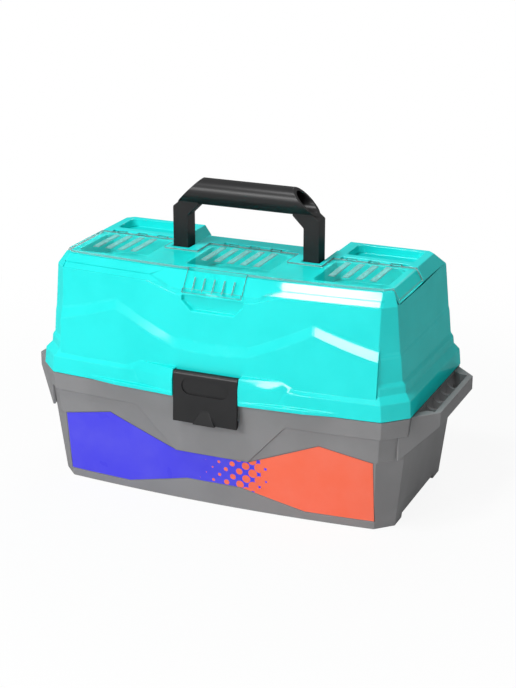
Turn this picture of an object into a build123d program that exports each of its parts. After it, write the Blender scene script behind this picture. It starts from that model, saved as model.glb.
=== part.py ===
"""Three-tray tackle box: tub, hinged lid, cantilever trays, clear top cover and folding handle.

Millimetres. X runs along the box, the front faces -Y and +Z is up. The origin is on the floor,
under the middle of the box.
"""

import os
from math import cos, hypot, radians, sin

from build123d import *

os.makedirs("parts", exist_ok=True)

# Shell sizes
wall = 2.5
front_bow = 8.5
overrun = 60.0
fit_gap = 0.3
pin_clearance = 0.05

# Mating rim of tub and lid
skirt_length = 412.0
skirt_depth = 216.0
skirt_corner = 23.0
split_height = 124.0
rim_gap = 0.6
tongue_height = 7.5
tongue_gap = 1.0

# Base tub
base_rim_step = 2.5
base_end_draft = 14.0
base_side_draft = 14.5
base_foot_corner = 17.0
base_rim_corner = 22.0
base_ledge_height = 76.0
base_ledge_rise = 2.0
base_ledge_step = 2.0
base_floor_height = 6.0
base_floor = 3.0
foot_rim = 5.0
foot_arch_length = 106.0
floor_rib = 4.0
floor_rib_inset = 24.5
floor_rib_pitch = 110.0
collar_height = 20.0
collar_rise = 1.8

# Front panel of the tub that carries the film
label_depth = 0.9
label_thickness = 0.6
label_margin = 1.0
label_end_margin = 15.5
label_foot = 8.5
label_waist_foot = 25.0
label_waist_top = 58.0
label_peak = 88.5
label_shoulder = 77.0
label_peak_share = 0.675
label_waist_share = 0.236
label_foot_share = 0.575
label_waist_foot_share = 0.175
belly_half_length = 83.0
belly_rise = 1.8

# Carrying flanges at the two ends
flange_reach = 22.0
flange_height = 15.0
flange_outer_depth = 113.0
flange_root_depth = 168.0
flange_bar = 6.0
flange_web = 3.2
flange_slots = 5
flange_margin = 7.0
gusset_drop = 30.0
gusset_root = 8.0

# Lid shell
skirt_height = 17.5
skirt_draft = 1.3
shoulder_rise = 6.5
shoulder_end_step = 7.2
shoulder_front_step = 7.2
shoulder_rear_step = 5.5
lid_wall_height = 88.0
lid_end_taper = 11.0
lid_front_taper = 8.3
lid_rear_taper = 20.5
wall_foot_corner = 21.0
wall_top_corner = 12.5
wall_top_rear_corner = 4.0
lid_crown = 15.0
crown_end_step = 8.4
crown_front_step = 15.0
crown_rear_step = 15.5
deck_corner = 7.0
lid_step_shares = [(0, 0), (0.09, 0.07), (0.136, 0.345), (0.42, 0.536), (0.466, 0.636), (1, 1)]
deck_backing = 6.0
deck_thickness = 5.0

# Raised lower panel and grooves on the front of the lid
panel_rise = 2.4
panel_slope_share = 3.0
panel_end_margin = 11.8
panel_corner_rise = 45.0
panel_peak_rise = 64.5
panel_waist_rise = 33.5
panel_peak_share = 0.62
panel_waist_share = 0.233
groove_depth = 1.2
groove_width = 5.5
groove_dip = 10.0
groove_bend_share = 0.42
groove_waist_share = 0.24
facet_drop = 21.0
facet_run = 15.0
facet_waist_half = 42.0
facet_wide_half = 73.0
facet_top_half = 50.0
facet_wide_share = 0.52
scoop_drop = 10.0
scoop_height = 15.0
scoop_half_top = 34.0
scoop_half_foot = 23.0
scoop_depth = 6.0

# Latch and the cheeks beside it
latch_length = 71.0
latch_gap = 0.8
latch_reach = 26.0
latch_pivot_rise = 23.5
latch_barrel = 4.2
latch_plate = 3.0
latch_lean = 2.5
latch_pin_radius = 1.6
latch_pad_length = 52.0
latch_pad_height = 18.0
latch_pad_depth = 1.2
latch_pad_drop = 10.5
thumb_width = 25.0
thumb_top_width = 9.0
thumb_height = 14.0
thumb_rise = 3.0
cheek_length = 56.0
cheek_rise = 6.0
cheek_height = 28.3
lip_half_length = 156.0
lip_bend_length = 105.0
lip_height = 4.5
lip_rise = 4.0
blend_depth = 2.5
catch_length = 46.0
catch_height = 4.0
catch_drop = 16.0
catch_rise = 1.2

# Folding handle and its bosses
handle_setback = 19.0
handle_pivot_drop = 12.0
handle_pin_radius = 2.5
leg_width = 17.0
leg_depth = 18.0
leg_span = 147.0
socket_gap = 1.5
boss_inner_wall = 14.0
boss_outer_wall = 6.5
boss_front_margin = 16.5
grip_radius = 14.0
grip_rise = 60.0
grip_end_setback = 14.0
grip_hollow = 10.5
grip_hollow_depth = 22.0
leg_rise = 43.0
shoulder_cut = 12.0

# Top pockets, humps and the well for the folded handle
pocket_front_margin = 9.5
pocket_rear_margin = 7.0
pocket_depth = 20.0
pocket_end_margin = 9.4
pocket_boss_margin = 6.0
hump_gap = 3.0
hump_wall = 12.0
hump_front_margin = 13.0
hump_rear_margin = 6.5
hump_pocket_depth = 9.0
well_setback = 22.0
well_depth = 29.0

# Clear cover and its hinge
cover_thickness = 2.5
cover_hinge_y = 8.0
cover_barrel = 2.5
cover_pin_radius = 0.9
cover_groove = 3.5
cover_swing_gap = 1.2
cover_flap_margin = 7.5
cover_flap_drop = 13.0
knuckle_length = 11.0
knuckle_pitch = 24.0
knuckles_run = 3
rib_width = 6.5
rib_height = 0.8
rib_length = 49.0
rib_front_margin = 10.0
rib_pitch = 14.6
ribs_side = 4
ribs_middle = 5
tab_length = 65.0
tab_thickness = 2.0
tab_lip = 4.5
tab_rib = 1.0
tab_ribs = 5
tab_rib_share = 0.6

# Rear hinge of the lid
hinge_drop = 8.0
hinge_barrel = 5.0
hinge_pin_radius = 2.0
hinge_span = 236.0
hinge_lid_knuckle = 24.0
hinge_base_knuckle = 13.0

# Cantilever linkage: arms, trays and pivots
arm_rest_angle = 42.0
arm_spacing = 20.0
arm_width = 11.0
arm_thickness = 3.0
arm_setback = 73.9
arm_pivot_drop = 11.0
link_gap = 0.8
stud_radius = 2.5
pivot_boss = 7.0
tray_end_room = 15.8
tray_depth = 112.0
tray_pivot_margin = 9.6
tray_pivot_rise = 12.0
tray_gap = 2.0
tray_roof_gap = 1.5
tray_wall = 2.0
tray_corner = 5.0
divider_thickness = 1.6
divider_margin = 4.0
guide_rib = 1.5
guide_depth = 2.0
tray_names = ["bottom", "middle", "top"]
divider_counts = [1, 3, 5]

# Lengths and depths that follow from the mating rim
split_half = skirt_length / 2
base_rim_length = skirt_length - base_rim_step * 2
base_rim_depth = skirt_depth - base_rim_step * 2
base_foot_length = base_rim_length - base_end_draft * 2
base_foot_depth = base_rim_depth - base_side_draft * 2
label_half_length = base_foot_length / 2 - label_end_margin
wall_foot_length = skirt_length - shoulder_end_step * 2
wall_foot_front = skirt_depth / 2 - shoulder_front_step
wall_foot_rear = skirt_depth / 2 - shoulder_rear_step
wall_top_length = wall_foot_length - lid_end_taper * 2
wall_top_front = wall_foot_front - lid_front_taper
wall_top_rear = wall_foot_rear - lid_rear_taper
deck_length = wall_top_length - crown_end_step * 2
deck_front = wall_top_front - crown_front_step
deck_rear = wall_top_rear - crown_rear_step
panel_half_length = wall_top_length / 2 - panel_end_margin
hinge_y = skirt_depth / 2 + hinge_barrel
latch_pivot_y = -(skirt_depth / 2 + front_bow)
catch_root = base_rim_depth / 2 + front_bow
catch_front = -(catch_root + collar_rise + catch_rise)

# Heights that follow from the split and the lid's wall
collar_top = split_height - rim_gap
collar_foot = split_height - collar_height
wall_foot = split_height + skirt_height + shoulder_rise
band_height = wall_foot + lid_wall_height
lid_top = band_height + lid_crown
panel_corner_height = wall_foot + panel_corner_rise
panel_peak_height = wall_foot + panel_peak_rise
panel_waist_height = wall_foot + panel_waist_rise
scoop_top = band_height - scoop_drop
scoop_foot = scoop_top - scoop_height
latch_foot = split_height - latch_reach
latch_pivot_z = split_height + latch_pivot_rise
latch_pad_middle = latch_pivot_z - latch_pad_drop
catch_foot = split_height - catch_drop
hinge_z = split_height - hinge_drop

# Places on the lid's top
leg_inner = (leg_span - leg_width) / 2
leg_outer = (leg_span + leg_width) / 2
boss_inner = leg_inner - boss_inner_wall
boss_outer = leg_outer + boss_outer_wall
handle_pivot_y = cover_hinge_y - handle_setback
handle_pivot_z = lid_top - handle_pivot_drop
boss_front = boss_front_margin - handle_pivot_y
grip_height = lid_top + grip_rise
grip_half_top = leg_inner - grip_end_setback
shoulder_height = lid_top + leg_rise
socket_floor = handle_pivot_z - leg_depth / 2 - socket_gap
pocket_front = deck_front - pocket_front_margin
pocket_rear = cover_hinge_y - pocket_rear_margin
side_pocket_inner = boss_outer + pocket_boss_margin
side_pocket_outer = deck_length / 2 - pocket_end_margin
middle_pocket_half = boss_inner - pocket_boss_margin
hump_inner = leg_outer + hump_gap
hump_pocket_inner = hump_inner + hump_wall
hump_pocket_front = cover_hinge_y + hump_front_margin
hump_pocket_rear = deck_rear - hump_rear_margin
well_front = cover_hinge_y + well_setback
well_floor = lid_top - well_depth
cover_hinge_z = lid_top - cover_barrel
cover_floor = lid_top - cover_thickness
cover_rear = cover_hinge_y - cover_groove - fit_gap
cover_flap_front = deck_front - cover_flap_margin
rib_front = pocket_front - rib_front_margin

# Tray stack and linkage
tray_length = wall_top_length - tray_end_room * 2
tray_half = tray_length / 2
tray_foot = split_height
tray_pitch = (well_floor - wall - tray_roof_gap - tray_foot + tray_gap) / len(tray_names)
tray_height = tray_pitch - tray_gap
divider_height = tray_height - tray_wall - divider_margin
arm_inner = tray_half + link_gap
arm_outer = arm_inner + arm_thickness
arm_up = sin(radians(arm_rest_angle))
arm_back = cos(radians(arm_rest_angle))
arm_pivot_y = hinge_y - arm_setback
arm_pivot_z = split_height - arm_pivot_drop
first_arm_length = (tray_foot + tray_pivot_rise - arm_pivot_z) / arm_up
arm_step = tray_pitch / arm_up
tray_arm_lengths = [first_arm_length + arm_step * index for index in range(len(tray_names))]
lid_arm_length = tray_arm_lengths[-1]
lid_pivot_y = hinge_y - lid_arm_length * arm_back
lid_pivot_z = hinge_z + lid_arm_length * arm_up
tray_front = lid_pivot_y + tray_pivot_margin - tray_depth


def mix(low, high, share):
    """Value at a share of the way from low to high."""
    return low + (high - low) * share


def level(height, half_length, front, rear, front_corner, rear_corner):
    """One flat outline of a shell, with cut corners and a bowed front."""
    front_left = (-half_length + front_corner, -front)
    front_right = (half_length - front_corner, -front)
    with BuildSketch(Plane.XY.offset(height)) as outline:
        with BuildLine():
            ThreePointArc(front_left, (0, -front - front_bow), front_right)
            Polyline(
                front_right,
                (half_length, -front + front_corner),
                (half_length, rear - rear_corner),
                (half_length - rear_corner, rear),
                (-half_length + rear_corner, rear),
                (-half_length, rear - rear_corner),
                (-half_length, -front + front_corner),
                front_left,
            )
        make_face()
    return outline.sketch


def base_level(height, inset, corner_step=0):
    """Outline of the tub at a height, drawn in by an inset."""
    share = height / split_height
    half_length = mix(base_foot_length, base_rim_length, share) / 2 - inset
    half_depth = mix(base_foot_depth, base_rim_depth, share) / 2 - inset
    corner = mix(base_foot_corner, base_rim_corner, share) + corner_step
    return level(height, half_length, half_depth, half_depth, corner, corner)


def rim_level(height, inset):
    """Outline of the mating rim, drawn in from the lid's skirt."""
    half_depth = skirt_depth / 2 - inset
    return level(height, split_half - inset, half_depth, half_depth, skirt_corner, skirt_corner)


def wall_front(height):
    """Distance of the lid's front wall from the middle, at its corners."""
    return mix(wall_foot_front, wall_top_front, (height - wall_foot) / (band_height - wall_foot))


def wall_levels(inset):
    """Outlines of the lid's stepped wall, drawn in by an inset."""
    levels = []
    for rise_share, step_share in lid_step_shares:
        height = mix(wall_foot, band_height, rise_share)
        half_length = mix(wall_foot_length, wall_top_length, step_share) / 2 - inset
        rear = mix(wall_foot_rear, wall_top_rear, rise_share) - inset
        front_corner = mix(wall_foot_corner, wall_top_corner, rise_share)
        rear_corner = mix(wall_foot_corner, wall_top_rear_corner, rise_share)
        levels.append(level(height, half_length, wall_front(height) - inset, rear, front_corner, rear_corner))
    return levels


def skirt_levels(inset):
    """Outlines of the lid's skirt, up to its shoulder."""
    return [rim_level(split_height, inset), rim_level(split_height + skirt_height, inset + skirt_draft)]


def deck_level(height, inset):
    """Outline of the lid's flat top."""
    half_length = deck_length / 2 - inset
    return level(height, half_length, deck_front - inset, deck_rear - inset, deck_corner, deck_corner)


def front_prism(points, start, reach):
    """Prism that runs forward from a front-view outline."""
    with BuildPart() as prism:
        with BuildSketch(Plane.XZ.offset(start)):
            with BuildLine():
                Polyline(*points, close=True)
            make_face()
        extrude(amount=reach)
    return prism.part


def both_sides(points):
    """Front-view or plan outline from its right half, listed from the middle outwards and back."""
    return points + [(-x, y) for x, y in reversed(points)]


def box_between(low, high):
    """Block between two corners."""
    with BuildPart() as block:
        with Locations(low):
            Box(
                high[0] - low[0],
                high[1] - low[1],
                high[2] - low[2],
                align=(Align.MIN, Align.MIN, Align.MIN),
            )
    return block.part


def rod(start_x, end_x, y, z, radius):
    """Round rod along X."""
    with BuildPart() as piece:
        with BuildSketch(Plane.YZ.offset(start_x)):
            with Locations((y, z)):
                Circle(radius)
        extrude(amount=end_x - start_x)
    return piece.part


def side_prism(points, start_x, end_x):
    """Prism along X from a side-view outline in Y and Z."""
    with BuildPart() as prism:
        with BuildSketch(Plane.YZ.offset(start_x)):
            with BuildLine():
                Polyline(*points, close=True)
            make_face()
        extrude(amount=end_x - start_x)
    return prism.part


def finish(part, name):
    """Label a piece and write its file."""
    part.label = name
    export_step(part, f"parts/{name}.step")


# Outline of the film on the front of the tub
def label_outline(margin):
    """Right half of the film's bow-tie outline, drawn in by a margin."""
    return [
        (0, label_waist_top - margin),
        (label_half_length * label_waist_share, label_waist_top - margin),
        (label_half_length * label_peak_share, label_peak - margin),
        (label_half_length - margin, label_shoulder - margin),
        (label_half_length - margin, label_foot + margin),
        (label_half_length * label_foot_share, label_foot + margin),
        (label_half_length * label_waist_foot_share, label_waist_foot + margin),
        (0, label_waist_foot + margin),
    ]


def label_prism(margin):
    """Prism of the film's outline through the front of the tub."""
    right = label_outline(margin)
    left = [(-x, y) for x, y in reversed(right[1:-1])]
    return front_prism(right + left, 0, base_rim_depth)


# Base tub
with BuildPart() as base_body:
    loft(
        [
            base_level(0, 0),
            base_level(base_ledge_height, 0, base_ledge_step),
            base_level(base_ledge_height + base_ledge_rise, 0),
            base_level(collar_top, 0),
        ],
        ruled=True,
    )

with BuildPart() as base_cavity:
    floor_top = base_floor_height + base_floor
    rim_inset = wall + tongue_gap + wall
    loft([base_level(floor_top, wall + base_floor), rim_level(collar_top, rim_inset)], ruled=True)
    loft([rim_level(collar_top, rim_inset), rim_level(split_height + overrun, rim_inset)], ruled=True)

with BuildPart() as label_seat:
    add(label_prism(0))
    loft([base_level(0, label_depth), base_level(split_height, label_depth)], ruled=True, mode=Mode.SUBTRACT)

with BuildPart() as belly:
    loft([base_level(0, -belly_rise), base_level(collar_top, -belly_rise)], ruled=True)
    belly_points = [
        (belly_half_length, collar_top),
        (belly_half_length, collar_foot),
        (label_half_length * label_waist_share, label_waist_top),
    ]
    add(front_prism(both_sides(belly_points), 0, base_rim_depth), mode=Mode.INTERSECT)

with BuildPart() as collar:
    loft([base_level(collar_foot, -collar_rise), base_level(collar_top, -collar_rise)], ruled=True)

with BuildPart() as tub_moulding:
    add(base_body.part)
    add(collar.part)
    add(belly.part)
    loft(
        [
            rim_level(collar_foot, wall + tongue_gap),
            rim_level(split_height + tongue_height, wall + tongue_gap),
        ],
        ruled=True,
    )
    add(base_cavity.part, mode=Mode.SUBTRACT)
    add(label_seat.part, mode=Mode.SUBTRACT)
    loft([base_level(0, foot_rim), base_level(base_floor_height, foot_rim)], ruled=True, mode=Mode.SUBTRACT)
    with BuildSketch(Plane.XY):
        Rectangle(base_foot_length + overrun, foot_arch_length)
    extrude(amount=base_floor_height - label_thickness, mode=Mode.SUBTRACT)
    with BuildSketch(Plane.XY):
        Rectangle(base_foot_length - floor_rib_inset * 2, floor_rib)
        for place in (-1, 0, 1):
            with Locations((place * floor_rib_pitch, 0)):
                Rectangle(floor_rib, base_foot_depth - foot_rim)
    extrude(amount=base_floor_height + base_floor / 2)
    for side in (-1, 1):
        for arm_y in (arm_pivot_y, arm_pivot_y - arm_spacing):
            boss_start = side * (arm_outer + link_gap)
            boss_end = side * (base_rim_length / 2 - wall)
            add(rod(boss_start, boss_end, arm_y, arm_pivot_z, pivot_boss))
            add(rod(side * (arm_inner - fit_gap), boss_start, arm_y, arm_pivot_z, stud_radius))
        for knuckle in (-1, 1):
            middle = side * hinge_span / 2
            near = middle + knuckle * (hinge_lid_knuckle / 2 + fit_gap)
            far = near + knuckle * hinge_base_knuckle
            add(rod(near, far, hinge_y, hinge_z, hinge_barrel))
            web = [
                (hinge_y, hinge_z + hinge_barrel),
                (hinge_y, hinge_z - hinge_barrel),
                (base_rim_depth / 2 - wall, hinge_z - hinge_barrel * 2),
                (base_rim_depth / 2 - wall, hinge_z + hinge_barrel),
            ]
            add(side_prism(web, near, far))
            add(rod(near, far, hinge_y, hinge_z, hinge_pin_radius + pin_clearance), mode=Mode.SUBTRACT)
    add(
        box_between(
            (-catch_length / 2, catch_front, catch_foot),
            (catch_length / 2, wall - catch_root, catch_foot + catch_height),
        )
    )

with BuildPart() as floor_core:
    loft([base_level(0, foot_rim), base_level(base_floor_height, foot_rim)], ruled=True)
    loft(
        [base_level(base_floor_height, wall + base_floor), base_level(floor_top, wall + base_floor)],
        ruled=True,
    )

with BuildPart() as base_tub:
    add(tub_moulding.part)
    add(floor_core.part, mode=Mode.SUBTRACT)
finish(base_tub.part, "base_tub")

with BuildPart() as tub_floor:
    add(tub_moulding.part)
    add(floor_core.part, mode=Mode.INTERSECT)
finish(tub_floor.part, "tub_floor")

# Carrying flanges
with BuildPart() as flange_right:
    flange_foot = collar_top - flange_height
    flange_root = base_rim_length / 2 - wall
    flange_tip = split_half + flange_reach
    plan_points = [
        (flange_root, flange_root_depth / 2),
        (flange_tip, flange_outer_depth / 2),
        (flange_tip, -flange_outer_depth / 2),
        (flange_root, -flange_root_depth / 2),
    ]
    with BuildSketch(Plane.XY.offset(flange_foot)):
        with BuildLine():
            Polyline(*plan_points, close=True)
        make_face()
    extrude(amount=flange_height)
    slot_root = split_half + fit_gap
    slot_tip = flange_tip - flange_bar
    slot_half = flange_outer_depth / 2 - fit_gap
    slot_step = 2 * slot_half / flange_slots
    with BuildSketch(Plane.XY.offset(flange_foot)):
        with BuildLine():
            Polyline(
                (slot_root, slot_half + flange_margin),
                (slot_tip, slot_half - flange_margin),
                (slot_tip, -slot_half + flange_margin),
                (slot_root, -slot_half - flange_margin),
                close=True,
            )
        make_face()
        for slot in range(1, flange_slots):
            with Locations(((slot_root + slot_tip) / 2, -slot_half + slot_step * slot)):
                Rectangle(slot_tip - slot_root + overrun, flange_web, mode=Mode.SUBTRACT)
    extrude(amount=flange_height, mode=Mode.SUBTRACT)
    with BuildSketch(Plane.XZ.offset(-slot_half)):
        with Locations(((slot_root + slot_tip) / 2, collar_top)):
            Circle((slot_tip - slot_root) / 2)
    extrude(amount=2 * slot_half, mode=Mode.SUBTRACT)
    for side in (-1, 1):
        root_y = side * flange_root_depth / 2
        run_x = flange_tip - flange_root
        run_y = side * (flange_outer_depth - flange_root_depth) / 2
        web_plane = Plane(
            origin=(flange_root, root_y, flange_foot),
            x_dir=(run_x, run_y, 0),
            z_dir=(run_y, -run_x, 0),
        )
        with BuildSketch(web_plane):
            with BuildLine():
                Polyline(
                    (-gusset_root, 0),
                    (hypot(run_x, run_y), 0),
                    (-gusset_root, -gusset_drop),
                    close=True,
                )
            make_face()
        extrude(amount=side * flange_web)
    add(base_body.part, mode=Mode.SUBTRACT)
    add(collar.part, mode=Mode.SUBTRACT)
finish(flange_right.part, "flange_right")

with BuildPart() as flange_left:
    mirror(flange_right.part, about=Plane.YZ)
finish(flange_left.part, "flange_left")

# Printed film on the front of the tub
with BuildPart() as front_label:
    add(label_prism(label_margin))
    film_skin = label_depth - label_thickness
    loft([base_level(0, film_skin), base_level(split_height, film_skin)], ruled=True, mode=Mode.INTERSECT)
    loft([base_level(0, label_depth), base_level(split_height, label_depth)], ruled=True, mode=Mode.SUBTRACT)
finish(front_label.part, "front_label")


# Places on the lid's front
def bow_at(x, chord):
    """How far the bowed front stands ahead of its corners at a place along the box."""
    return front_bow * (1 - (x / chord) ** 2)


def skirt_front(x):
    """Distance of the skirt's front from the middle."""
    return skirt_depth / 2 + bow_at(x, split_half - skirt_corner)


def ridge_point(x, height):
    """Start of a panel edge that slopes down and out through a place on the lid's front."""
    ahead = wall_front(height) + bow_at(x, panel_half_length) - wall_top_front
    return (x, height + panel_slope_share * ahead)


def recess_blocks(grow):
    """Corners of every hollow in the lid's top, grown by a wall."""
    pocket_floor = cover_floor - pocket_depth
    hump_floor = lid_top - hump_pocket_depth
    socket_front = handle_pivot_y - leg_depth / 2 - socket_gap
    spans = [
        (-middle_pocket_half, middle_pocket_half, -pocket_front, pocket_rear, pocket_floor),
        (-hump_inner, hump_inner, well_front, deck_rear + overrun, well_floor),
    ]
    for side in (-1, 1):
        for inner, outer, front, rear, foot in (
            (side_pocket_inner, side_pocket_outer, -pocket_front, pocket_rear, pocket_floor),
            (hump_pocket_inner, side_pocket_outer, hump_pocket_front, hump_pocket_rear, hump_floor),
            (leg_inner - socket_gap, leg_outer + socket_gap, socket_front, well_front + wall, socket_floor),
        ):
            near, far = sorted((side * inner, side * outer))
            spans.append((near, far, front, rear, foot))
    return [
        ((near - grow, front - grow, foot - grow), (far + grow, rear + grow, lid_top + overrun))
        for near, far, front, rear, foot in spans
    ]


def cover_windows():
    """Middle and knuckle places of each hinge run of the cover."""
    side_middle = (side_pocket_inner + side_pocket_outer) / 2
    places = [knuckle_pitch * (index - (knuckles_run - 1) / 2) for index in range(knuckles_run)]
    return [(middle, [middle + place for place in places]) for middle in (0, -side_middle, side_middle)]


def flap_block(side, gap):
    """Block over one end slope, where the cover's flap lies."""
    inner = deck_length / 2 - wall_top_corner
    outer = wall_top_length / 2 + overrun
    near, far = sorted((side * inner, side * outer))
    return box_between(
        (near, -cover_flap_front - gap, lid_top - cover_flap_drop - gap),
        (far, cover_rear + gap, lid_top),
    )


facet_length = hypot(facet_drop, facet_run)
facet_plane = Plane(
    origin=(0, -(deck_front + front_bow + facet_run), lid_top - facet_drop),
    x_dir=(1, 0, 0),
    z_dir=(0, -facet_drop, facet_run),
)
cheek_inner = latch_length / 2 + latch_gap
cheek_outer = cheek_inner + cheek_length
scoop_back = wall_front(scoop_foot) + front_bow - scoop_depth


def cheek_level(height, rise, root):
    """Plan of the cheek beside the latch at a height."""
    with BuildSketch(Plane.XY.offset(height)) as outline:
        with BuildLine():
            Polyline(
                (cheek_inner, -wall_foot_front),
                (cheek_inner, -skirt_front(0) - rise),
                (cheek_outer, blend_depth - root),
                (cheek_outer, -wall_foot_front),
                close=True,
            )
        make_face()
    return outline.sketch


# Lid shell
with BuildPart() as lid_cavity:
    loft(
        [
            rim_level(split_height - wall, wall),
            *skirt_levels(wall),
            *wall_levels(wall),
            deck_level(lid_top - deck_thickness, wall + deck_backing),
        ],
        ruled=True,
    )
    for low, high in recess_blocks(wall):
        add(box_between(low, high), mode=Mode.SUBTRACT)
    add(
        box_between(
            (-scoop_half_top - wall, -wall_foot_front - overrun, scoop_foot - wall),
            (scoop_half_top + wall, wall - scoop_back, scoop_top + wall),
        ),
        mode=Mode.SUBTRACT,
    )
    with BuildSketch(facet_plane.offset(-wall)):
        with Locations((0, -wall)):
            Rectangle(
                (facet_wide_half + wall) * 2,
                facet_length + wall * 2,
                align=(Align.CENTER, Align.MIN),
            )
    extrude(amount=facet_drop, mode=Mode.SUBTRACT)

with BuildPart() as ridge_prism:
    ridge = [
        (panel_half_length, wall_foot - overrun),
        ridge_point(panel_half_length, panel_corner_height),
        ridge_point(panel_half_length * panel_peak_share, panel_peak_height),
        ridge_point(panel_half_length * panel_waist_share, panel_waist_height),
    ]
    with BuildSketch(Plane.XZ.offset(wall_top_front)):
        with BuildLine():
            Polyline(*both_sides(ridge), close=True)
        make_face()
    extrude(amount=overrun, dir=(0, -1, -panel_slope_share))

with BuildPart() as front_panel:
    loft(
        [
            level(
                split_height + skirt_height,
                wall_foot_length / 2 + panel_rise,
                wall_foot_front + panel_rise,
                wall_foot_rear,
                wall_foot_corner,
                wall_foot_corner,
            ),
            *wall_levels(-panel_rise),
        ],
        ruled=True,
    )
    add(ridge_prism.part, mode=Mode.INTERSECT)

with BuildPart() as front_groove:
    groove_low = [
        (panel_half_length * groove_waist_share, band_height - groove_dip),
        (panel_half_length * groove_bend_share, band_height),
        (panel_half_length, band_height),
    ]
    groove_high = [(x, height + groove_width) for x, height in reversed(groove_low)]
    add(front_prism(both_sides(groove_low + groove_high), 0, skirt_depth))
    loft([*wall_levels(groove_depth), deck_level(lid_top, groove_depth)], ruled=True, mode=Mode.SUBTRACT)

with BuildPart() as cover_seat:
    seat_depth = cover_thickness + fit_gap
    for side in (-1, 1):
        add(flap_block(side, cover_swing_gap))
    loft([wall_levels(seat_depth)[-1], deck_level(lid_top, seat_depth)], ruled=True, mode=Mode.SUBTRACT)
    with BuildSketch(Plane.XY.offset(cover_floor - fit_gap)):
        with Locations((0, cover_rear + cover_swing_gap)):
            Rectangle(skirt_length, skirt_depth, align=(Align.CENTER, Align.MAX))
        for side in (-1, 1):
            with Locations((side * (boss_inner + boss_outer) / 2, -boss_front)):
                Rectangle(
                    boss_outer - boss_inner,
                    skirt_depth,
                    align=(Align.CENTER, Align.MIN),
                    mode=Mode.SUBTRACT,
                )
    extrude(amount=overrun)

with BuildPart() as latch_cheek:
    loft(
        [
            cheek_level(split_height, cheek_rise, skirt_front(cheek_outer)),
            cheek_level(split_height + skirt_height, cheek_rise, skirt_front(cheek_outer)),
            cheek_level(split_height + cheek_height, cheek_rise / 2, wall_foot_front + front_bow),
        ],
        ruled=True,
    )
    with BuildSketch(Plane.XY.offset(split_height)):
        with BuildLine():
            Polyline(
                (cheek_inner, -wall_foot_front),
                (cheek_inner, -skirt_front(0) - cheek_rise),
                (lip_bend_length, -skirt_front(lip_bend_length) - lip_rise),
                (lip_half_length, blend_depth - skirt_front(lip_half_length)),
                (lip_half_length, -wall_foot_front),
                close=True,
            )
        make_face()
    extrude(amount=lip_height)

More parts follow.
